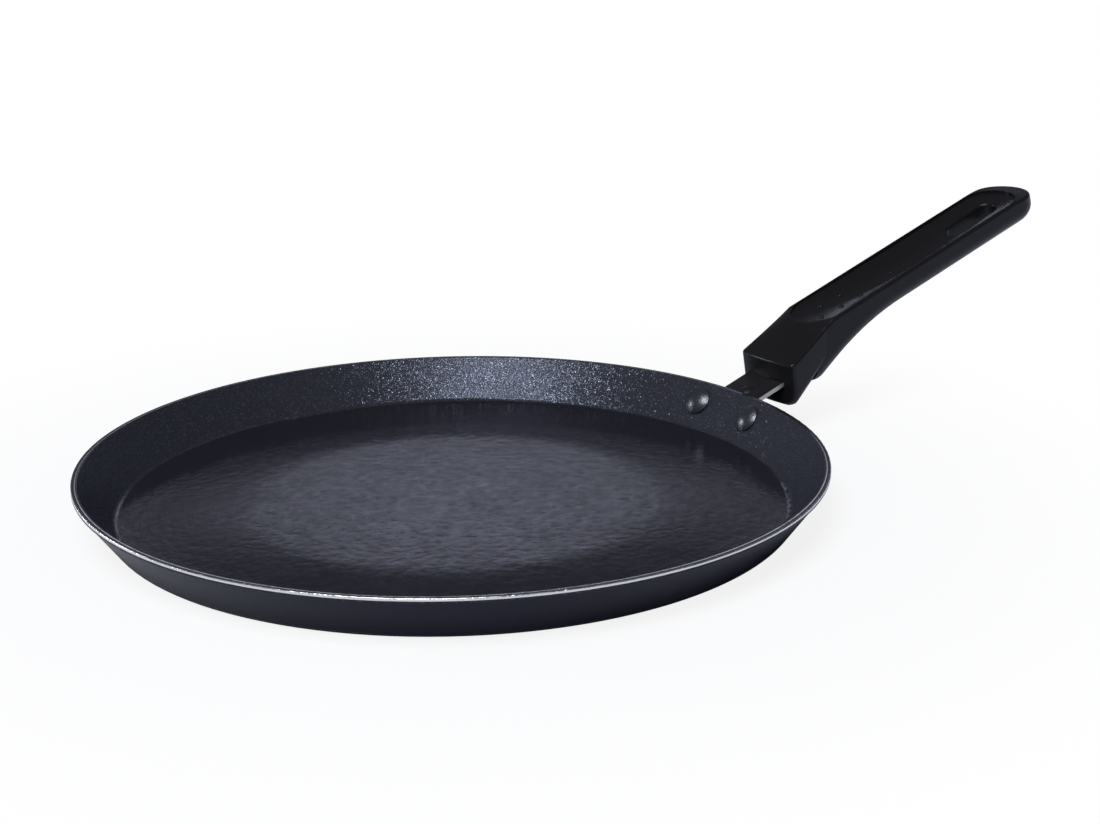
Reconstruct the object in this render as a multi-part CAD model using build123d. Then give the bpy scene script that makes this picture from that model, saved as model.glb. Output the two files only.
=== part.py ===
from build123d import *
from math import atan2, cos, degrees, radians, sin, tan
import os

# Pan body: pressed sheet with a flared wall and a turned rim
rim_radius = 140.0
pan_height = 19.0
sheet = 2.5
wall_lean_angle = 36.0
floor_corner_radius = 5.0
rim_land_height = 1.6
rim_ledge = 0.35
rim_edge_radius = 0.35

# Rivets through the wall
rivet_spacing = 31.6
rivet_height = 10.7
rivet_shank_diameter = 5.0
rivet_fit = 0.1
rivet_head_diameter = 11.4
rivet_head_height = 2.9
rivet_head_edge = 0.9
rivet_tail_diameter = 8.6
rivet_tail_height = 2.0
rivet_tail_edge = 0.8

# Handle bracket: saddle plate on the wall, bend, strap and tang
bracket_thickness = 1.8
saddle_width = 46.0
saddle_height = 12.4
saddle_corner_radius = 5.5
saddle_neck_fillet = 1.5
strap_width = 21.4
strap_bend_radius = 4.0
strap_rim_gap = 0.35
tang_length = 44.0
tang_corner_radius = 4.0
strap_rib_width = 6.4
strap_rib_height = 1.1
strap_rib_reach = 4.6

# Rise of the strap and of the grip, in degrees above level
handle_rise_angle = 18.4

# Grip, neck block over the strap: reaches run out from the rim, heights up from it
neck_reach = 13.8
neck_bulge = 1.6
neck_lean_angle = 9.0
neck_top_height = 11.3
neck_bottom_drop = 7.3
neck_heel_reach = 20.5
neck_back_angle = 41.7
neck_width = 32.0
neck_corner_radius = 2.2
neck_bottom_radius = 6.0
neck_taper_end_reach = 36.4
shoulder_margin = 0.4
neck_overlap = 8.0
upward_share = 0.9

# Grip, bar from the panel's lip to the tip
lip_reach = 31.8
lip_height = 24.2
bar_width = 28.0
bar_length = 139.4
bar_depth = 12.3
bar_bottom_radius = 6.6
top_edge_radius = 1.2
bar_root_angle = 38.7
bar_root_bend_share = 0.655
tip_fall_length = 12.0
tip_fall_angle = 13.0
tip_fall_radius = 70.0
ledge_height = 0.5
ledge_length = 3.8
ledge_radius = 8.0

# Sunken panel in the bar's top
panel_lip_land = 1.5
panel_side_land = 1.5
panel_tip_land = 8.5
panel_edge_depth = 0.6
panel_lip_depth = 1.1
panel_middle_depth = 4.7
panel_tip_depth = 1.3
panel_middle_share = 0.55

# Raised grip pips on the panel floor
pip_diameter = 2.4
pip_rise = 0.75
pip_row_spacing = 9.0
left_pip_reaches = (48.8, 59.6)
right_pip_reaches = (41.4, 52.2, 63.0)
small_pip_diameter = 1.9
small_pip_reach = 84.9

# Hang slot through the bar
slot_tip_land = 18.0
slot_length = 28.0
slot_width = 10.0
slot_lip_radius = 1.3
slot_bottom_radius = 1.0

# Cavity for the tang, and the screw and washer that hold it
tang_fit = 0.3
screw_reach = 23.5
screw_diameter = 4.0
screw_fit = 0.1
screw_bore_clearance = 0.35
screw_head_diameter = 8.0
screw_head_height = 2.6
screw_head_edge = 1.2
screw_tip_beyond_tang = 5.0
screw_point_chamfer = 0.5
screw_seat_depth = 3.0
screw_recess_clearance = 0.6
drive_slot_width = 1.2
drive_slot_depth = 1.3
washer_thickness = 1.0
washer_diameter = 7.2
washer_gap = 1.0

# Cuts run past their faces by the overrun, and edges are picked within the margin
overrun = 20.0
pick_margin = 0.1

os.makedirs("parts", exist_ok=True)

lean = radians(wall_lean_angle)
rise = radians(handle_rise_angle)


def rounded_face(points, radii):
    """Closed outline through the points, each corner rounded by its own radius."""
    face = make_face(Polyline(*points, close=True))
    for point, radius in zip(points, radii):
        if radius:
            corner = face.vertices().sort_by_distance(point)[0]
            face = fillet(corner, radius)
    return face


def side_prism(points, radii, width):
    """Side view outline, thickened evenly to both sides of the handle's middle plane."""
    return extrude(Plane.XZ * rounded_face(points, radii), amount=width / 2, both=True)


# Pan body
land_base = pan_height - rim_land_height
base_radius = rim_radius - rim_ledge - land_base * tan(lean)
wall_offset = sheet / cos(lean)


def wall_radius(height):
    """Radius of the wall's outer face at a height above the base."""
    return base_radius + height * tan(lean)


pan_outline = [
    (0, 0),
    (base_radius, 0),
    (wall_radius(land_base), land_base),
    (rim_radius, land_base),
    (rim_radius, pan_height),
    (wall_radius(pan_height) - wall_offset, pan_height),
    (wall_radius(sheet) - wall_offset, sheet),
    (0, sheet),
]
pan_radii = [
    0,
    floor_corner_radius,
    0,
    0,
    rim_edge_radius,
    rim_edge_radius,
    floor_corner_radius - sheet,
    0,
]
pan_shell = revolve(Plane.XZ * rounded_face(pan_outline, pan_radii), axis=Axis.Z)

# Places of the two rivets, square to the wall
rivet_wall_radius = wall_radius(rivet_height)
rivet_turn_angle = degrees(atan2(rivet_spacing / 2, rivet_wall_radius))
wall_plane = Plane(
    origin=(rivet_wall_radius, 0, rivet_height),
    x_dir=(0, 1, 0),
    z_dir=(cos(lean), 0, -sin(lean)),
)
rivet_places = [Rot(0, 0, side * rivet_turn_angle) for side in (-1, 1)]
hole_reach = sheet + bracket_thickness
hole = wall_plane * Cylinder(rivet_shank_diameter / 2 + rivet_fit, 2 * hole_reach)
rivet_holes = [place * hole for place in rivet_places]
pan_body = pan_shell - rivet_holes

# Strap line: it clears the rim's outer corner and rises at the handle's angle
strap_start_x = rim_radius + strap_rim_gap * sin(rise)
strap_start_z = land_base - strap_rim_gap * cos(rise)


def strap_height(x, depth=0):
    """Height of the strap's upper face, or of a face a depth below it, at a reach x."""
    return strap_start_z - depth / cos(rise) + (x - strap_start_x) * tan(rise)


def bend_point(depth):
    """Corner where the wall's face and the strap's face meet, a depth inside the sheet."""
    cone_x = base_radius + depth / cos(lean)
    z = strap_height(cone_x, depth) / (1 - tan(lean) * tan(rise))
    return (cone_x + z * tan(lean), z)


# Bracket: the saddle follows the cone of the wall
saddle_strip = [
    (wall_radius(0), 0),
    bend_point(0),
    bend_point(bracket_thickness),
    (wall_radius(0) + bracket_thickness / cos(lean), 0),
]
saddle_band = revolve(Plane.XZ * make_face(Polyline(*saddle_strip, close=True)), axis=Axis.Z)
saddle_outline = Rectangle(saddle_width, saddle_height) + Pos(0, saddle_height / 2) * Rectangle(
    strap_width, saddle_height
)
saddle_corners = saddle_outline.vertices().sort_by(Axis.X)
saddle_outline = fillet(saddle_corners[:2] + saddle_corners[-2:], saddle_corner_radius)
neck_corners = saddle_outline.vertices().filter_by(
    lambda v: abs(abs(v.X) - strap_width / 2) < pick_margin and v.Y < saddle_height
)
saddle_outline = fillet(neck_corners, saddle_neck_fillet)
saddle = saddle_band & extrude(wall_plane * saddle_outline, amount=hole_reach * 2, both=True)

# Bracket: bend, strap and tang in one flat-sided strip
tang_end = (
    strap_start_x + tang_length * cos(rise),
    strap_start_z + tang_length * sin(rise),
)
tang_end_below = (
    tang_end[0] + bracket_thickness * sin(rise),
    tang_end[1] - bracket_thickness * cos(rise),
)
strip_start = (wall_radius(rivet_height), rivet_height)
strip_start_below = (
    strip_start[0] + bracket_thickness * cos(lean),
    strip_start[1] - bracket_thickness * sin(lean),
)
strip_outline = [
    strip_start,
    bend_point(0),
    tang_end,
    tang_end_below,
    bend_point(bracket_thickness),
    strip_start_below,
]
strip_radii = [0, strap_bend_radius + bracket_thickness, 0, 0, strap_bend_radius, 0]
strip = side_prism(strip_outline, strip_radii, strap_width)
tang_corners = strip.edges().filter_by(Axis.Y, reverse=True).sort_by(Axis.X)[-4:]
tang_corners = tang_corners.filter_by(lambda e: e.length < 2 * bracket_thickness)
strip = fillet(tang_corners, tang_corner_radius)

# Stiffening rib pressed up into the strap's root
strap_plane = Plane(
    origin=(strap_start_x, 0, strap_start_z),
    x_dir=(cos(rise), 0, sin(rise)),
    z_dir=(-sin(rise), 0, cos(rise)),
)
rib_ball = (strap_rib_width**2 / 4 + strap_rib_height**2) / (2 * strap_rib_height)
rib = Pos(strap_rib_reach, 0, strap_rib_height - rib_ball) * Sphere(rib_ball)
rib = rib & Pos(strap_rib_reach, 0, 0) * Box(
    2 * strap_rib_width, 2 * strap_rib_width, 2 * strap_rib_height
)

screw_along = (screw_reach + rim_radius - strap_start_x) / cos(rise)
screw_plane = strap_plane * Pos(screw_along, 0, 0)
tapped_hole = screw_plane * Cylinder(screw_diameter / 2 + screw_fit, overrun)
handle_bracket = saddle + strip + strap_plane * rib - rivet_holes - tapped_hole

# Rivets: domed heads inside the wall, formed tails on the saddle
head_radius = rivet_head_diameter / 2
tail_radius = rivet_tail_diameter / 2
shank_radius = rivet_shank_diameter / 2


def domed_disc(radius, height, edge, bed):
    """Button with a straight edge and a domed top, bedded below its seat."""
    outline = Line((0, -bed), (radius, -bed)) + Line((radius, -bed), (radius, edge))
    outline += TangentArc((0, height), (radius, edge), tangent=(1, 0))
    outline += Line((0, height), (0, -bed))
    return revolve(Plane.XZ * make_face(outline), axis=Axis.Z)


head = Pos(0, 0, -sheet) * Rot(180, 0, 0) * domed_disc(
    head_radius, rivet_head_height, rivet_head_edge, sheet / 2
)
tail = Pos(0, 0, bracket_thickness) * domed_disc(
    tail_radius, rivet_tail_height, rivet_tail_edge, bracket_thickness / 2
)
shank = Cylinder(shank_radius, hole_reach + rivet_tail_edge)
shank = Pos(0, 0, (bracket_thickness - sheet) / 2) * shank
rivet = wall_plane * shank + (wall_plane * head - pan_shell) + (wall_plane * tail - saddle - pan_shell)
bracket_rivets = Compound(children=[place * rivet for place in rivet_places])


# Grip: neck block over the strap
lip = (rim_radius + lip_reach, pan_height + lip_height)
neck_front = rim_radius + neck_reach
neck_side_front = neck_front + neck_bulge
neck_top = (neck_side_front, pan_height + neck_top_height)
neck_bottom = pan_height - neck_bottom_drop
heel_x = rim_radius + neck_heel_reach
inside_x = lip[0] + neck_overlap
heel_rise = (inside_x - heel_x) * tan(radians(neck_back_angle))
half_neck = neck_width / 2
half_bar = bar_width / 2
taper_end = rim_radius + neck_taper_end_reach
front_arc = (half_neck**2 + neck_bulge**2) / (2 * neck_bulge)
neck_front_round = Pos(neck_front, 0, neck_top[1]) * Rot(0, -neck_lean_angle, 0)
neck_front_round *= Pos(front_arc, 0, 0) * Cylinder(front_arc, 2 * lip[1] + overrun)


def neck_section(x, bottom):
    """Section of the neck at a reach x, with rounded lower corners."""
    half = half_neck - (half_neck - half_bar) * (x - neck_side_front) / (taper_end - neck_side_front)
    corners = [(-half, lip[1]), (-half, bottom), (half, bottom), (half, lip[1])]
    face = rounded_face(corners, [0, neck_bottom_radius, neck_bottom_radius, 0])
    return Plane(origin=(x, 0, 0), x_dir=(0, 1, 0), z_dir=(1, 0, 0)) * face


neck_sections = [
    neck_section(neck_front - neck_bulge, neck_bottom),
    neck_section(heel_x, neck_bottom),
    neck_section(inside_x, neck_bottom + heel_rise),
]
neck = loft(neck_sections, ruled=True) & neck_front_round

# Grip: bar from the panel's lip to the tip, with its underside easing from steep to the rise
bar_plane = Plane(
    origin=(lip[0], 0, lip[1]),
    x_dir=(cos(rise), 0, sin(rise)),
    z_dir=(-sin(rise), 0, cos(rise)),
)


def along_bar(reach):
    """Length along the bar from the panel's lip to a reach outside the rim."""
    return (reach - lip_reach) / cos(rise)


def underside_height(x):
    """Height of the bar's straight underside at a reach x."""
    return lip[1] - bar_depth / cos(rise) + (x - lip[0]) * tan(rise)


root_slope = radians(bar_root_angle)
ledge_z = pan_height + ledge_height
root_foot = (lip[0] + ledge_length, ledge_z)
root_run = (underside_height(root_foot[0]) - ledge_z) / (tan(root_slope) - tan(rise))
root_bend = (root_foot[0] + root_run, ledge_z + root_run * tan(root_slope))
root_bend_radius = bar_root_bend_share * root_run / cos(root_slope) / tan((root_slope - rise) / 2)
bar_end_x = lip[0] + (bar_length + overrun) * cos(rise)
brow_x = lip[0] + (bar_length - tip_fall_length) * cos(rise)
brow_z = lip[1] + (bar_length - tip_fall_length) * sin(rise)
bar_outline = [
    lip,
    (lip[0], ledge_z),
    root_foot,
    root_bend,
    (bar_end_x, underside_height(bar_end_x)),
    (bar_end_x, brow_z + (bar_end_x - brow_x) * tan(rise - radians(tip_fall_angle))),
    (brow_x, brow_z),
]
bar_radii = [0, 0, ledge_radius, root_bend_radius, 0, 0, tip_fall_radius]
bar_side_view = side_prism(bar_outline, bar_radii, bar_width)
bar_plan = Pos(bar_length - half_bar, 0) * Circle(half_bar)
bar_plan += Pos(bar_length / 2 - half_bar, 0) * Rectangle(bar_length, bar_width)
bar = bar_side_view & bar_plane * extrude(bar_plan, amount=lip[1] + overrun, both=True)

# Rounded front of the neck and rounded underside of the bar
neck_front_edges = neck.edges().filter_by(
    lambda e: e.center().X < neck_side_front + neck_bulge and e.center().Z < lip[1] - pick_margin
)
neck = fillet(neck_front_edges, neck_corner_radius)
bar_low_edges = bar.edges().filter_by(
    lambda e: abs(e.center().Y) > half_bar - pick_margin
    and bar_plane.to_local_coords(e.center()).Z < -bar_depth / 2 - bar_bottom_radius / 2
)
bar_tip_edge = bar.edges().filter_by(GeomType.CIRCLE).sort_by(Axis.X)[-1]
bar_low_edges = bar_low_edges.filter_by(lambda e: e.bounding_box().size.X > 0 and e.length > top_edge_radius)
bar = fillet(list(bar_low_edges) + [bar_tip_edge], bar_bottom_radius)

# Ramp: a ruled surface that runs from the neck's straight brow up to the bar's round front
shoulder = half_bar + shoulder_margin
ramp_slope = (lip[1] - neck_top[1]) / (lip[0] - neck_top[0])
foot_x = neck_side_front - neck_bulge
foot_z = neck_top[1] - neck_bulge * ramp_slope
foot_half = half_neck + shoulder_margin
foot_front = ThreePointArc((foot_x, -foot_half), (foot_x - neck_bulge, 0), (foot_x, foot_half))
foot_sides = Polyline(
    (foot_x, foot_half),
    (lip[0] + 2 * shoulder, shoulder),
    (lip[0] + 2 * shoulder, -shoulder),
    (foot_x, -foot_half),
)
crest_front = ThreePointArc((shoulder, -shoulder), (0, 0), (shoulder, shoulder))
crest_sides = Polyline(
    (shoulder, shoulder), (2 * shoulder, shoulder), (2 * shoulder, -shoulder), (shoulder, -shoulder)
)
foot = Pos(0, 0, foot_z) * make_face(foot_front + foot_sides)
crest = bar_plane * make_face(crest_front + crest_sides)
ramp_block = loft([foot, crest], ruled=True)
shoulder_length = lip[0] + shoulder * cos(rise) - foot_x + neck_bulge
shoulder_box = Pos(
    foot_x - neck_bulge + shoulder_length / 2, 0, foot_z + (lip[1] + overrun - foot_z) / 2
) * Box(shoulder_length, neck_width + overrun, lip[1] + overrun - foot_z)
grip = neck + bar - (shoulder_box - ramp_block)


def faces_up(face):
    """Whether a face is the ramp or lies in the bar's top."""
    middle = face.center()
    height = bar_plane.to_local_coords(middle).Z
    return face.normal_at(middle).dot(bar_plane.z_dir) > upward_share and height > -bar_depth / 2


# Softened brow, ramp sides and bar top
top_faces = grip.faces().filter_by(faces_up)
face_edges = [edge for face in top_faces for edge in face.edges()]
top_edges = [edge for edge in face_edges if sum(edge.is_same(other) for other in face_edges) == 1]
grip = fillet(top_edges, top_edge_radius)

# Sunken panel: a trough with an arched floor, cut to the panel's plan
panel_half = half_bar - panel_side_land
panel_end = bar_length - panel_tip_land
panel_stations = (
    (0, panel_lip_depth),
    (bar_length * panel_middle_share, panel_middle_depth),
    (bar_length, panel_tip_depth),
)


def trough_section(along, depth):
    """Section of the panel's trough, its floor an arc that is deepest in the middle."""
    floor = ThreePointArc(
        (-panel_half - panel_side_land, -panel_edge_depth),
        (0, -depth),
        (panel_half + panel_side_land, -panel_edge_depth),
    )
    walls = Polyline(
        (panel_half + panel_side_land, -panel_edge_depth),
        (panel_half + panel_side_land, overrun),
        (-panel_half - panel_side_land, overrun),
        (-panel_half - panel_side_land, -panel_edge_depth),
    )
    return Plane(origin=(along, 0, 0), x_dir=(0, 1, 0), z_dir=(1, 0, 0)) * make_face(floor + walls)


def floor_depth(along, side):
    """Depth of the panel's floor, from the parabola through the three stations."""
    depth = 0
    for here, station_depth in panel_stations:
        weight = 1
        for other, _ in panel_stations:
            if other != here:
                weight *= (along - other) / (here - other)
        depth += weight * station_depth
    return depth - (depth - panel_edge_depth) * (side / (panel_half + panel_side_land)) ** 2


trough = loft([trough_section(along, depth) for along, depth in panel_stations])
panel_plan = Pos((panel_lip_land + panel_end) / 2, 0) * SlotOverall(
    panel_end - panel_lip_land, 2 * panel_half
)
panel = trough & extrude(panel_plan, amount=bar_depth, both=True)

slot_middle = bar_length - slot_tip_land - slot_length / 2
slot = extrude(SlotOverall(slot_length, slot_width), amount=2 * bar_depth, both=True)
slot = Pos(slot_middle, 0, 0) * slot


def pip(reach, side, diameter):
    """Low dome standing on the panel's floor."""
    ball = (diameter**2 / 4 + pip_rise**2) / (2 * pip_rise)
    along = along_bar(reach)
    dome = Pos(0, 0, pip_rise - ball) * Sphere(ball)
    stem = Cylinder(diameter / 2, 2 * pip_rise)
    return Pos(along, side, -floor_depth(along, side)) * (dome & stem)


pips = [pip(reach, pip_row_spacing / 2, pip_diameter) for reach in left_pip_reaches]
pips += [pip(reach, -pip_row_spacing / 2, pip_diameter) for reach in right_pip_reaches]
pips += [pip(small_pip_reach, 0, small_pip_diameter)]

grip = grip - bar_plane * panel - bar_plane * slot
slot_edges = grip.edges().filter_by(
    lambda e: abs(bar_plane.to_local_coords(e.center()).X - slot_middle) < slot_length / 2 + pick_margin
    and abs(e.center().Y) < slot_width / 2 + pick_margin
    and e.length > bar_depth
)
slot_edges = slot_edges.sort_by(lambda e: bar_plane.to_local_coords(e.center()).Z)
half_count = len(slot_edges) // 2
grip = fillet(slot_edges[:half_count], slot_bottom_radius)
slot_lip_edges = [
    grip.edges().sort_by_distance(edge.center())[0] for edge in slot_edges[half_count:]
]
grip = fillet(slot_lip_edges, slot_lip_radius)
grip += [bar_plane * dome for dome in pips]

# Cavity for the tang, screw bore above it and screw recess below it
cavity_length = tang_length + tang_fit
cavity_plan = Pos(cavity_length / 2, 0) * Rectangle(cavity_length, strap_width + 2 * tang_fit)
cavity_plan = fillet(cavity_plan.vertices().sort_by(Axis.X)[-2:], tang_corner_radius + tang_fit)
cavity = extrude(cavity_plan, amount=bracket_thickness / 2 + tang_fit, both=True)
cavity = strap_plane * Pos(0, 0, -bracket_thickness / 2) * cavity

seat_z = -bracket_thickness - tang_fit - screw_seat_depth
bore_top = screw_tip_beyond_tang + tang_fit
bore = Pos(0, 0, (bore_top + seat_z) / 2) * Cylinder(
    screw_diameter / 2 + screw_bore_clearance, bore_top - seat_z
)
recess_radius = screw_head_diameter / 2 + screw_recess_clearance
recess = Pos(0, 0, seat_z - overrun / 2) * Cylinder(recess_radius, overrun)
handle_grip = grip - cavity - screw_plane * bore - screw_plane * recess

# Screw from below, with a slotted cheese head, and its spring washer
washer_z = seat_z - washer_thickness
screw_head_radius = screw_head_diameter / 2
screw_head_z = washer_z - screw_head_height
screw_head = Pos(0, 0, washer_z - screw_head_height / 2) * Cylinder(screw_head_radius, screw_head_height)
head_rim = screw_head.edges().filter_by(GeomType.CIRCLE).sort_by(Axis.Z)[0]
screw_head = fillet(head_rim, screw_head_edge)
drive_slot = Pos(0, 0, screw_head_z) * Box(
    2 * screw_head_diameter, drive_slot_width, 2 * drive_slot_depth
)
screw_shank = Pos(0, 0, (screw_tip_beyond_tang + washer_z) / 2) * Cylinder(
    screw_diameter / 2, screw_tip_beyond_tang - washer_z
)
point_rim = screw_shank.edges().filter_by(GeomType.CIRCLE).sort_by(Axis.Z)[-1]
screw_shank = chamfer(point_rim, screw_point_chamfer)
grip_screw = screw_plane * (screw_head + screw_shank - drive_slot)

washer_ring = Circle(washer_diameter / 2) - Circle(screw_diameter / 2 + screw_fit)
washer_split = Pos(washer_diameter / 2, 0) * Rectangle(washer_diameter, washer_gap)
washer = extrude(washer_ring - washer_split, amount=washer_thickness)
spring_washer = screw_plane * Pos(0, 0, washer_z) * washer

export_step(pan_body, "parts/pan_body.step")
export_step(handle_bracket, "parts/handle_bracket.step")
export_step(bracket_rivets, "parts/bracket_rivets.step")
export_step(handle_grip, "parts/handle_grip.step")
export_step(grip_screw, "parts/grip_screw.step")
export_step(spring_washer, "parts/spring_washer.step")
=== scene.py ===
import math

import bpy
from mathutils import Matrix, Vector


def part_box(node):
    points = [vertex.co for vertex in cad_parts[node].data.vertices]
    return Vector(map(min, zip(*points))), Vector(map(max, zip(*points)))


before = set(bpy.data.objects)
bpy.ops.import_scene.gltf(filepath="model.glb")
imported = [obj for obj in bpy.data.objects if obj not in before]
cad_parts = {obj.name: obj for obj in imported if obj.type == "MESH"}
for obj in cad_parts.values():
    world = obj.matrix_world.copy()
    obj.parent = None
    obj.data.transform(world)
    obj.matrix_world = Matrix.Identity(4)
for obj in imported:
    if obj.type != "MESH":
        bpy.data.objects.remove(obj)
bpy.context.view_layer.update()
MM = 0.001
WHITE = (1, 1, 1, 1)
NOISE_MIDDLE = 0.5

# Pan body: the rim's reach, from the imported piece
pan_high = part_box("pan_body")[1]
RIM_RADIUS = pan_high[0]
RIM_HEIGHT = pan_high[2]
RIM_BAND_HEIGHT = 1.6 * MM

# Bare metal: a band round the rim's outside, a thin line inside it, and the base
BARE_BAND_HEIGHT = 0.95 * MM
BARE_BAND_DEPTH = 0.40 * MM
BARE_LINE_DEPTH = 1.30 * MM
BARE_LINE_WIDTH = 0.40 * MM
BARE_BASE_HEIGHT = 0.02 * MM

# Which way the pan's faces point, as the height of their normals: inside, and cooking floor
INSIDE_FACING = (-0.1, 0.1)
FLOOR_FACING = (0.75, 0.97)

# Cooking floor's relief: a slight dome, a shallow ring, and a fall from the ring to the wall
DOME_CURVE = 0.03
RING_RADIUS = 79 * MM
RING_HEIGHT = 0.03 * MM
RING_HALF_WIDTH = 9 * MM
FALL_RADIUS = 125 * MM
FALL_DEPTH = 2.3 * MM

# Fine relief: rings left by the lathe, and the coat's peel, which is fainter on the wall
LATHE_PITCH = 0.35 * MM
LATHE_DEPTH = 0.008 * MM
LATHE_STRENGTH = 0.5
PEEL_GRAIN = {"Grain Size": 3.6 * MM, "Patch Size": 26 * MM, "Roughness": 0.5}
PEEL_DEPTH = 0.12 * MM
PEEL_ON_WALL = 0.2

# Metal flakes in the wall's coat
FINE_FLAKES = {"Flake Size": 0.28 * MM, "Share Left Out": 0.62, "Lean Strength": 0.40}
LARGE_FLAKES = {"Flake Size": 0.38 * MM, "Share Left Out": 0.93, "Lean Strength": 0.44}
FINE_FLAKE_COLOUR = (0.060, 0.069, 0.092, 1)
LARGE_FLAKE_COLOUR = (0.110, 0.128, 0.170, 1)
FLAKE_METALLIC = 0.6

# Pan's colours, and its roughness with what each place or mark adds
FLOOR_COAT = ((0.0105, 0.0103, 0.0155, 1), (0.0155, 0.0153, 0.0220, 1))
# The wall's coat is the floor's coat painted lighter: painted light where the wall catches more
# light
WALL_COAT_PAINTED_LIGHTER = (0.0245, 0.0240, 0.0315, 1)
ENAMEL = ((0.0058, 0.0058, 0.0125, 1), (0.0085, 0.0085, 0.0170, 1))
BARE_METAL = ((0.66, 0.65, 0.64, 1), (0.88, 0.87, 0.85, 1))
COAT_SHEEN_TINT = (0.66, 0.70, 1.0, 1)
ENAMEL_GLOSS = 0.09
COAT_GLOSS = 0.21
COAT_ROUGHNESS = 0.30
ADDED_ROUGHNESS = {"patches": 0.08, "floor": -0.16, "mottle": 0.22, "flakes": -0.10, "bare": -0.06}

# Each smaller piece has two shades, a grain, a roughness and what the grain adds to it, and the
# depth and strength of the grain's relief

# Grip moulding
PHENOLIC_BLACK = ((0.0080, 0.0080, 0.0090, 1), (0.0120, 0.0120, 0.0135, 1))
PHENOLIC_GRAIN = {"Grain Size": 0.32 * MM, "Patch Size": 18 * MM, "Roughness": 0.7}
PHENOLIC_ROUGHNESS, PHENOLIC_ADDED = 0.20, 0.08
PHENOLIC_RELIEF = (0.015 * MM, 0.4)
PHENOLIC_GLOSS = 0.20
PHENOLIC_TINT = (0.82, 0.84, 1.0, 1)

# Bracket: its black, its bare sheared edges, and where these start, by the normal's sideways part
BRACKET_BLACK = ((0.008, 0.008, 0.010, 1), (0.014, 0.014, 0.016, 1))
SHEARED_STEEL = ((0.34, 0.33, 0.32, 1), (0.62, 0.61, 0.60, 1))
SHEARED_FACING = (0.9, 0.97)
SHEARED_METALLIC = 0.9
BRACKET_GRAIN = {"Grain Size": 0.4 * MM, "Patch Size": 9 * MM, "Roughness": 0.6}
BRACKET_ROUGHNESS, BRACKET_ADDED = 0.3, 0.2
BRACKET_RELIEF = (0.02 * MM, 0.4)
BRACKET_GLOSS = 0.25

# Rivets
RIVET_COAT = ((0.012, 0.013, 0.018, 1), (0.032, 0.034, 0.044, 1))
RIVET_GRAIN = {"Grain Size": 1.3 * MM, "Patch Size": 5 * MM, "Roughness": 0.6}
RIVET_ROUGHNESS, RIVET_ADDED = 0.20, 0.18
RIVET_RELIEF = (0.15 * MM, 0.7)
RIVET_GLOSS = 1.0
RIVET_TINT = (0.80, 0.85, 1.0, 1)

# Screw and washer
ZINC_PLATE = ((0.50, 0.51, 0.53, 1), (0.68, 0.69, 0.70, 1))
ZINC_GRAIN = {"Grain Size": 0.3 * MM, "Patch Size": 3 * MM, "Roughness": 0.6}
ZINC_ROUGHNESS, ZINC_ADDED = 0.25, 0.2
ZINC_RELIEF = (0.02 * MM, 0.4)

# How fine the noise inside the shared effects is
GRAIN_DETAIL = 4.0
PATCH_DETAIL = 3.0
RING_DETAIL = 3.0

# Camera at the photograph's viewing angle
CAMERA_PLACE = Vector((-0.3844, -0.5987, 0.2537))
CAMERA_AIM = Vector((0.0333, -0.0157, 0.0336))
CAMERA_ROLL = math.radians(-0.60)
CAMERA_LENS = 65.45
CAMERA_SENSOR = 36.0
CAMERA_NEAR = 10 * MM

# Soft boxes: place, aim, side in metres and power in watts
SOFTBOXES = {
    "upper_left_box": ((-1.40, -0.94, 2.48), (0.0, 0.0, 0.0), 1.6, 84.0),
    "back_left_box": ((-1.35, 1.70, 0.35), (0.15, 0.0, 0.03), 0.5, 10.0),
}

# Soft strip of light low behind the pan: its direction, its reach as parts of a unit sphere
STRIP_AZIMUTH = math.radians(57.0)
STRIP_RISE = 0.342
STRIP_HALF_LENGTH = 0.26
STRIP_HALF_HEIGHT = 0.036
STRIP_LIGHT = 3.0

# Room: its light from low down to overhead, as heights on a unit sphere, and its tint
ROOM_HEIGHTS = (0.24, 0.42)
ROOM_LIGHT = (0.13, 0.08)
ROOM_TINT = (0.84, 0.87, 1.06, 1)

# Studio floor, in metres, and the distances from the middle over which the camera sees it
# turn white
STUDIO_HALF_SIDE = 6
STUDIO_DROP = 0.02 * MM
STUDIO_COLOUR = (0.85, 0.89, 0.98, 1)
STUDIO_ROUGHNESS = 0.9
STUDIO_GLOSS = 0.1
STUDIO_WHITE_DISTANCES = (0.12, 0.32)
STUDIO_WHITE_SHARES = (0.86, 1.0)


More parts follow.
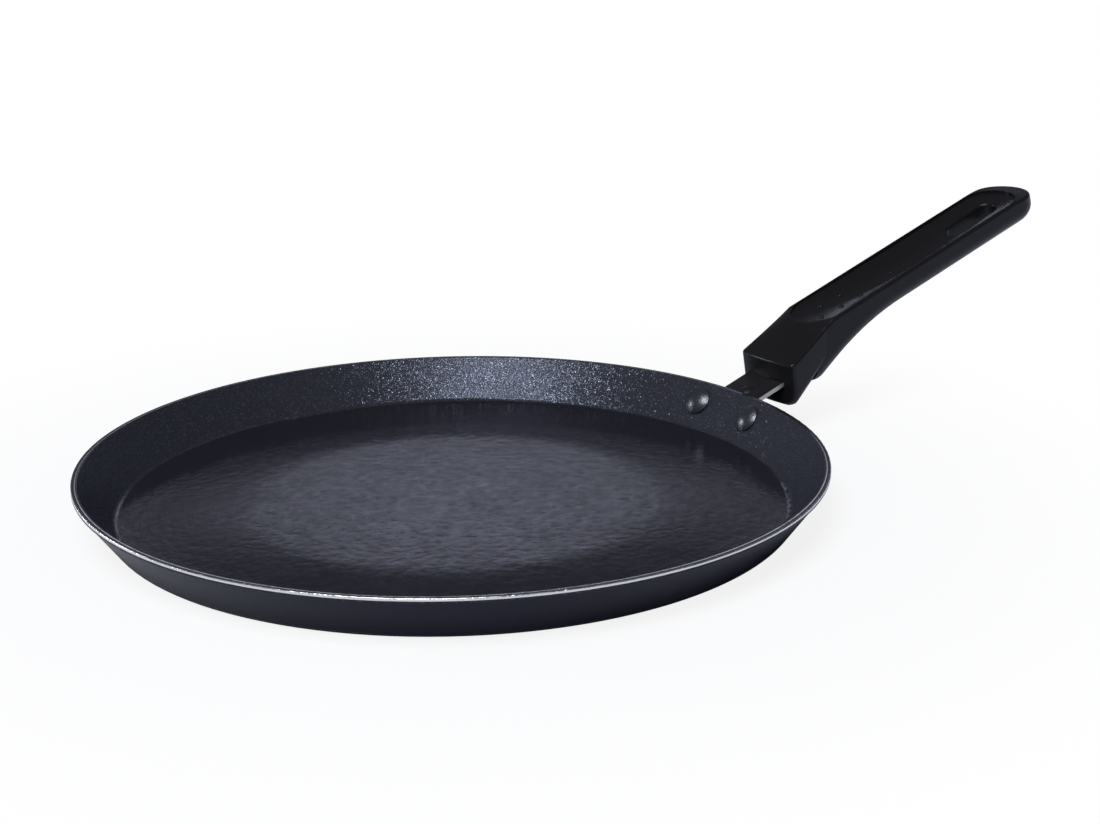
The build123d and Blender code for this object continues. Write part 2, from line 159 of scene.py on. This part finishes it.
class NodeTree:
    """Short ways to add and join the nodes of one tree."""

    def __init__(self, tree):
        self.tree = tree

    def add(self, kind, inputs=None, **settings):
        """Add a node with its settings, then give each named input a value or an output."""
        node = self.tree.nodes.new(kind)
        for name, value in settings.items():
            setattr(node, name, value)
        for socket, source in (inputs or {}).items():
            self.join(source, node.inputs[socket])
        return node

    def join(self, source, target):
        """Set a socket to a plain value, or link an output to it."""
        if isinstance(source, (int, float, tuple)):
            target.default_value = source
        else:
            self.tree.links.new(source, target)

    def maths(self, operation, *values):
        """One step of arithmetic."""
        return self.add("ShaderNodeMath", dict(enumerate(values)), operation=operation).outputs[0]

    def total(self, start, *parts):
        """A start value plus each source times its amount."""
        for source, amount in parts:
            start = self.maths("MULTIPLY_ADD", source, amount, start)
        return start

    def vectors(self, operation, inputs):
        """One step of arithmetic on vectors."""
        return self.add("ShaderNodeVectorMath", inputs, operation=operation).outputs

    def axes(self, vector):
        """X, Y and Z of a vector."""
        return self.add("ShaderNodeSeparateXYZ", {0: vector}).outputs

    def ramp(self, source, low, high, at_low=0.0, at_high=1.0):
        """Level that eases from one value to another while the source goes from low to high."""
        limits = {"From Min": low, "From Max": high, "To Min": at_low, "To Max": at_high}
        inputs = {"Value": source, **limits}
        return self.add("ShaderNodeMapRange", inputs, interpolation_type="SMOOTHSTEP").outputs[0]

    def blend(self, factor, first, second, kind="RGBA"):
        """Colour, or vector, between two."""
        node = self.add("ShaderNodeMix", {"Factor": factor}, data_type=kind)
        ends = [socket for socket in node.inputs if socket.type == kind][-2:]
        self.join(first, ends[0])
        self.join(second, ends[1])
        return next(socket for socket in node.outputs if socket.type == kind)

    def bump(self, height, depth, strength=1.0, under=None):
        """Normal of a relief, laid over another normal where one is given."""
        inputs = {"Height": height, "Distance": depth, "Strength": strength}
        if under is not None:
            inputs["Normal"] = under
        return self.add("ShaderNodeBump", inputs).outputs[0]


class Effect(NodeTree):
    """A shader node group that takes a place and named values, and gives named outputs."""

    def __init__(self, name, values, outputs):
        super().__init__(bpy.data.node_groups.new(name, "ShaderNodeTree"))
        sockets = self.tree.interface
        sockets.new_socket("Place", in_out="INPUT", socket_type="NodeSocketVector")
        for socket, value in values.items():
            made = sockets.new_socket(socket, in_out="INPUT", socket_type="NodeSocketFloat")
            made.default_value = value
        for socket, kind in outputs.items():
            sockets.new_socket(socket, in_out="OUTPUT", socket_type="NodeSocket" + kind)
        self.given = self.add("NodeGroupInput").outputs
        self.result = self.add("NodeGroupOutput").inputs

    def give(self, **results):
        """Join each named output, and return the finished group."""
        for socket, source in results.items():
            self.join(source, self.result[socket])
        return self.tree


class Finish(NodeTree):
    """A new node material with its Principled shader and the place on the piece."""

    def __init__(self, name):
        self.material = bpy.data.materials.new(name)
        self.material.use_nodes = True
        super().__init__(self.material.node_tree)
        self.shader = self.tree.nodes["Principled BSDF"]
        self.place = self.add("ShaderNodeTexCoord").outputs["Object"]

    def effect(self, tree, values):
        """Place an effect's group with this finish's own values."""
        return self.add("ShaderNodeGroup", {"Place": self.place, **values}, node_tree=tree).outputs

    def normal_axes(self):
        """X, Y and Z of the way the surface faces."""
        return self.axes(self.add("ShaderNodeNewGeometry").outputs["Normal"])

    def dress(self, inputs):
        """Give the shader its inputs, and return the material."""
        for socket, source in inputs.items():
            self.join(source, self.shader.inputs[socket])
        return self.material


def fine_grain():
    """Cloudy grain in two sizes: Height for bump, and Tone for slow changes of shade."""
    effect = Effect(
        "fine_grain",
        {"Grain Size": 0.6 * MM, "Patch Size": 30 * MM, "Roughness": 0.6},
        {"Height": "Float", "Tone": "Float"},
    )

    def cloud(size, detail):
        inputs = {
            "Vector": effect.given["Place"],
            "Scale": effect.maths("DIVIDE", 1.0, effect.given[size]),
            "Detail": detail,
            "Roughness": effect.given["Roughness"],
        }
        return effect.add("ShaderNodeTexNoise", inputs).outputs["Fac"]

    height = cloud("Grain Size", GRAIN_DETAIL)
    tone = cloud("Patch Size", PATCH_DETAIL)
    return effect.give(Height=height, Tone=tone)


def turned_rings():
    """Distance from the upright middle axis, height, and fine rings as a lathe leaves them."""
    effect = Effect(
        "turned_rings",
        {"Ring Pitch": 0.4 * MM},
        {"Radius": "Float", "Height": "Float", "Rings": "Float"},
    )
    place = effect.axes(effect.given["Place"])
    flat = effect.add("ShaderNodeCombineXYZ", {"X": place["X"], "Y": place["Y"]}).outputs[0]
    radius = effect.vectors("LENGTH", {0: flat})["Value"]
    along_profile = effect.maths("ADD", radius, place["Z"])
    turns = effect.maths("DIVIDE", along_profile, effect.given["Ring Pitch"])
    pattern = {"W": turns, "Detail": RING_DETAIL, "Scale": 1.0}
    noise = effect.add("ShaderNodeTexNoise", pattern, noise_dimensions="1D")
    return effect.give(Radius=radius, Height=place["Z"], Rings=noise.outputs["Fac"])


def coat_flakes():
    """Metal flakes in a coat: Mask is 1 on a flake, and Lean tips its face its own way."""
    effect = Effect(
        "coat_flakes",
        {"Flake Size": 0.6 * MM, "Share Left Out": 0.6, "Lean Strength": 0.5},
        {"Mask": "Float", "Lean": "Vector"},
    )
    pattern = {
        "Vector": effect.given["Place"],
        "Scale": effect.maths("DIVIDE", 1.0, effect.given["Flake Size"]),
    }
    cells = effect.add("ShaderNodeTexVoronoi", pattern).outputs
    chance = effect.add("ShaderNodeTexWhiteNoise", {"Vector": cells["Position"]}).outputs["Value"]
    chosen = effect.maths("GREATER_THAN", chance, effect.given["Share Left Out"])
    either_way = effect.vectors("SUBTRACT", {0: cells["Color"], 1: (NOISE_MIDDLE,) * 3})[0]
    strength = effect.maths("MULTIPLY", chosen, effect.given["Lean Strength"])
    lean = effect.vectors("SCALE", {0: either_way, "Scale": strength})[0]
    return effect.give(Mask=chosen, Lean=lean)


GRAIN = fine_grain()
RINGS = turned_rings()
FLAKES = coat_flakes()


def bare_metal(finish, rings):
    """Where the pan's metal is bare: 1 on the rim's band and line and on the base."""
    near_top = finish.maths("GREATER_THAN", rings["Height"], RIM_HEIGHT - BARE_BAND_HEIGHT)
    band = finish.maths("GREATER_THAN", rings["Radius"], RIM_RADIUS - BARE_BAND_DEPTH)
    line_middle = RIM_RADIUS - BARE_LINE_DEPTH - BARE_LINE_WIDTH / 2
    line = finish.maths("COMPARE", rings["Radius"], line_middle, BARE_LINE_WIDTH / 2)
    rim = finish.maths("MULTIPLY", near_top, finish.maths("MAXIMUM", band, line))
    base = finish.maths("LESS_THAN", rings["Height"], BARE_BASE_HEIGHT)
    return finish.maths("MAXIMUM", rim, base)


def pan_relief(finish, rings, grain, floor):
    """Normal of the cooking floor's form, the lathe's rings and the coat's peel."""
    radius = rings["Radius"]
    fall = finish.ramp(radius, RING_RADIUS - RING_HALF_WIDTH, FALL_RADIUS)
    ring_up = finish.ramp(radius, RING_RADIUS - RING_HALF_WIDTH, RING_RADIUS)
    ring_down = finish.ramp(radius, RING_RADIUS, RING_RADIUS + RING_HALF_WIDTH)
    height = finish.total(
        0.0,
        (finish.maths("MULTIPLY", radius, radius), -DOME_CURVE),
        (fall, -FALL_DEPTH),
        (ring_up, RING_HEIGHT),
        (ring_down, -RING_HEIGHT),
    )
    form = finish.bump(finish.maths("MULTIPLY", height, floor), 1.0)
    lathe = finish.bump(rings["Rings"], LATHE_DEPTH, LATHE_STRENGTH, under=form)
    below_band = finish.maths("LESS_THAN", rings["Height"], RIM_HEIGHT - RIM_BAND_HEIGHT)
    peel_here = finish.total(PEEL_ON_WALL, (floor, 1.0 - PEEL_ON_WALL))
    peel_strength = finish.maths("MULTIPLY", peel_here, below_band)
    return finish.bump(grain["Height"], PEEL_DEPTH, peel_strength, under=lathe)


def pan_coats():
    """Pan body: non-stick coat with metal flakes inside, enamel outside, bare rim and base."""
    finish = Finish("pan_coats")
    rings = finish.effect(RINGS, {"Ring Pitch": LATHE_PITCH})
    grain = finish.effect(GRAIN, PEEL_GRAIN)
    fine = finish.effect(FLAKES, FINE_FLAKES)
    large = finish.effect(FLAKES, LARGE_FLAKES)

    upward = finish.normal_axes()["Z"]
    inside = finish.ramp(upward, *INSIDE_FACING)
    floor = finish.ramp(upward, *FLOOR_FACING)
    wall = finish.maths("SUBTRACT", inside, floor)
    bare = bare_metal(finish, rings)
    fine_flake = finish.maths("MULTIPLY", fine["Mask"], wall)
    large_flake = finish.maths("MULTIPLY", large["Mask"], wall)
    flake = finish.maths("MAXIMUM", fine_flake, large_flake)

    # The wall takes the lighter coat: painted light on the same coat as the floor
    coat = finish.blend(wall, finish.blend(grain["Tone"], *FLOOR_COAT), WALL_COAT_PAINTED_LIGHTER)
    colour = finish.blend(inside, finish.blend(grain["Tone"], *ENAMEL), coat)
    colour = finish.blend(fine_flake, colour, FINE_FLAKE_COLOUR)
    colour = finish.blend(large_flake, colour, LARGE_FLAKE_COLOUR)
    metal = finish.blend(rings["Rings"], *BARE_METAL)

    peaks = finish.maths("SUBTRACT", grain["Height"], NOISE_MIDDLE)
    mottle = finish.maths("MULTIPLY", peaks, floor)
    roughness = finish.total(
        COAT_ROUGHNESS,
        (grain["Tone"], ADDED_ROUGHNESS["patches"]),
        (floor, ADDED_ROUGHNESS["floor"]),
        (mottle, ADDED_ROUGHNESS["mottle"]),
        (flake, ADDED_ROUGHNESS["flakes"]),
        (bare, ADDED_ROUGHNESS["bare"]),
    )

    either_lean = finish.blend(large_flake, fine["Lean"], large["Lean"], kind="VECTOR")
    flake_lean = finish.vectors("SCALE", {0: either_lean, "Scale": flake})[0]
    relief = pan_relief(finish, rings, grain, floor)
    return finish.dress({
        "Base Color": finish.blend(bare, colour, metal),
        "Metallic": finish.maths("MAXIMUM", bare, finish.maths("MULTIPLY", flake, FLAKE_METALLIC)),
        "Roughness": roughness,
        "Specular IOR Level": finish.total(ENAMEL_GLOSS, (inside, COAT_GLOSS - ENAMEL_GLOSS)),
        "Specular Tint": finish.blend(bare, COAT_SHEEN_TINT, WHITE),
        "Normal": finish.vectors("ADD", {0: relief, 1: flake_lean})[0],
    })


def moulded_phenolic():
    """Grip: near-black moulding with a fine matte grain."""
    finish = Finish("moulded_phenolic")
    grain = finish.effect(GRAIN, PHENOLIC_GRAIN)
    return finish.dress({
        "Base Color": finish.blend(grain["Tone"], *PHENOLIC_BLACK),
        "Roughness": finish.total(PHENOLIC_ROUGHNESS, (grain["Tone"], PHENOLIC_ADDED)),
        "Normal": finish.bump(grain["Height"], *PHENOLIC_RELIEF),
        "Specular IOR Level": PHENOLIC_GLOSS,
        "Specular Tint": PHENOLIC_TINT,
    })


def blackened_steel():
    """Bracket: black sheet whose sheared side edges are bare and bright."""
    finish = Finish("blackened_steel")
    grain = finish.effect(GRAIN, BRACKET_GRAIN)
    sideways = finish.maths("ABSOLUTE", finish.normal_axes()["Y"])
    sheared = finish.ramp(sideways, *SHEARED_FACING)
    black = finish.blend(grain["Tone"], *BRACKET_BLACK)
    bright = finish.blend(grain["Height"], *SHEARED_STEEL)
    return finish.dress({
        "Base Color": finish.blend(sheared, black, bright),
        "Metallic": finish.maths("MULTIPLY", sheared, SHEARED_METALLIC),
        "Roughness": finish.total(BRACKET_ROUGHNESS, (grain["Tone"], BRACKET_ADDED)),
        "Normal": finish.bump(grain["Height"], *BRACKET_RELIEF),
        "Specular IOR Level": BRACKET_GLOSS,
    })


def coated_rivet():
    """Rivets: the pan's coat, glossier where it flowed over the domes."""
    finish = Finish("coated_rivet")
    grain = finish.effect(GRAIN, RIVET_GRAIN)
    return finish.dress({
        "Base Color": finish.blend(grain["Tone"], *RIVET_COAT),
        "Roughness": finish.total(RIVET_ROUGHNESS, (grain["Height"], RIVET_ADDED)),
        "Normal": finish.bump(grain["Height"], *RIVET_RELIEF),
        "Specular IOR Level": RIVET_GLOSS,
        "Specular Tint": RIVET_TINT,
    })


def plated_steel():
    """Screw and washer: dull zinc plate."""
    finish = Finish("plated_steel")
    grain = finish.effect(GRAIN, ZINC_GRAIN)
    return finish.dress({
        "Base Color": finish.blend(grain["Tone"], *ZINC_PLATE),
        "Metallic": 1.0,
        "Roughness": finish.total(ZINC_ROUGHNESS, (grain["Height"], ZINC_ADDED)),
        "Normal": finish.bump(grain["Height"], *ZINC_RELIEF),
    })


def add_camera():
    """Camera that looks from its place to its aim, rolled a little."""
    forward = (CAMERA_AIM - CAMERA_PLACE).normalized()
    right = forward.cross(Vector((0, 0, 1))).normalized()
    up = right.cross(forward)
    turned_right = right * math.cos(CAMERA_ROLL) + up * math.sin(CAMERA_ROLL)
    turned_up = up * math.cos(CAMERA_ROLL) - right * math.sin(CAMERA_ROLL)
    data = bpy.data.cameras.new("photo_camera")
    data.lens = CAMERA_LENS
    data.sensor_width = CAMERA_SENSOR
    data.clip_start = CAMERA_NEAR
    camera = bpy.data.objects.new("photo_camera", data)
    axes = Matrix((turned_right, turned_up, -forward)).transposed().to_4x4()
    camera.matrix_world = Matrix.Translation(CAMERA_PLACE) @ axes
    bpy.context.scene.collection.objects.link(camera)
    bpy.context.scene.camera = camera


def add_softbox(name, place, aim, side, power):
    """Square soft light at a place, turned to its aim."""
    data = bpy.data.lights.new(name, "AREA")
    data.shape = "SQUARE"
    data.size = side
    data.energy = power
    softbox = bpy.data.objects.new(name, data)
    softbox.location = place
    softbox.rotation_euler = (Vector(aim) - Vector(place)).to_track_quat("-Z", "Y").to_euler()
    bpy.context.scene.collection.objects.link(softbox)


def add_studio_floor():
    """Pale floor that keeps the pan's soft shadow and turns white to the camera away from it.

    It is clear from below, so that the pan's underside can be looked at.
    """
    finish = Finish("studio_floor")
    finish.dress({
        "Base Color": STUDIO_COLOUR,
        "Roughness": STUDIO_ROUGHNESS,
        "Specular IOR Level": STUDIO_GLOSS,
    })
    pale = finish.shader.outputs[0]
    distance = finish.vectors("LENGTH", {0: finish.place})["Value"]
    white_share = finish.ramp(distance, *STUDIO_WHITE_DISTANCES, *STUDIO_WHITE_SHARES)
    camera_ray = finish.add("ShaderNodeLightPath").outputs["Is Camera Ray"]
    whitened = finish.maths("MULTIPLY", camera_ray, white_share)
    backfacing = finish.add("ShaderNodeNewGeometry").outputs["Backfacing"]
    white = finish.add("ShaderNodeEmission").outputs[0]
    clear = finish.add("ShaderNodeBsdfTransparent").outputs[0]
    above = finish.add("ShaderNodeMixShader", {0: whitened, 1: pale, 2: white}).outputs[0]
    either_side = finish.add("ShaderNodeMixShader", {0: backfacing, 1: above, 2: clear}).outputs[0]
    finish.join(either_side, finish.tree.nodes["Material Output"].inputs["Surface"])

    signs = ((-1, -1), (1, -1), (1, 1), (-1, 1))
    corners = [(x * STUDIO_HALF_SIDE, y * STUDIO_HALF_SIDE, -STUDIO_DROP) for x, y in signs]
    mesh = bpy.data.meshes.new("studio_floor")
    mesh.from_pydata(corners, [], [(0, 1, 2, 3)])
    mesh.materials.append(finish.material)
    floor = bpy.data.objects.new("studio_floor", mesh)
    bpy.context.scene.collection.objects.link(floor)


def add_surround():
    """White to the camera; to everything else dim, with a soft strip of light behind the pan."""
    world = bpy.data.worlds.new("white_surround")
    bpy.context.scene.world = world
    world.use_nodes = True
    surround = NodeTree(world.node_tree)
    direction = surround.add("ShaderNodeTexCoord").outputs["Generated"]
    turn = {"Vector": direction, "Angle": -STRIP_AZIMUTH}
    turned = surround.add("ShaderNodeVectorRotate", turn, rotation_type="Z_AXIS").outputs[0]
    toward_strip = surround.axes(turned)
    sideways = surround.maths("ABSOLUTE", toward_strip["Y"])
    rise = surround.maths("SUBTRACT", toward_strip["Z"], STRIP_RISE)
    off_rise = surround.maths("ABSOLUTE", rise)
    ahead = surround.maths("GREATER_THAN", toward_strip["X"], 0.0)
    along_strip = surround.ramp(sideways, 0.0, STRIP_HALF_LENGTH, STRIP_LIGHT, 0.0)
    across_strip = surround.ramp(off_rise, 0.0, STRIP_HALF_HEIGHT, 1.0, 0.0)
    both_sides = surround.maths("MULTIPLY", along_strip, across_strip)
    strip = surround.maths("MULTIPLY", both_sides, ahead)
    room = surround.ramp(toward_strip["Z"], *ROOM_HEIGHTS, *ROOM_LIGHT)

    camera_ray = surround.add("ShaderNodeLightPath").outputs["Is Camera Ray"]
    light = surround.maths("ADD", strip, room)
    levels = {"Value": camera_ray, "To Min": light, "To Max": 1.0}
    strength = surround.add("ShaderNodeMapRange", levels).outputs[0]
    background = world.node_tree.nodes["Background"].inputs
    surround.join(strength, background["Strength"])
    surround.join(surround.blend(camera_ray, ROOM_TINT, WHITE), background["Color"])


FINISHES = {
    "pan_body": pan_coats(),
    "handle_grip": moulded_phenolic(),
    "handle_bracket": blackened_steel(),
    "bracket_rivets": coated_rivet(),
}
PLATED = plated_steel()
for node_name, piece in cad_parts.items():
    piece.data.materials.clear()
    piece.data.materials.append(FINISHES.get(node_name, PLATED))

add_camera()
add_studio_floor()
add_surround()
for box_name, values in SOFTBOXES.items():
    add_softbox(box_name, *values)
bpy.context.scene.view_settings.view_transform = "Standard"
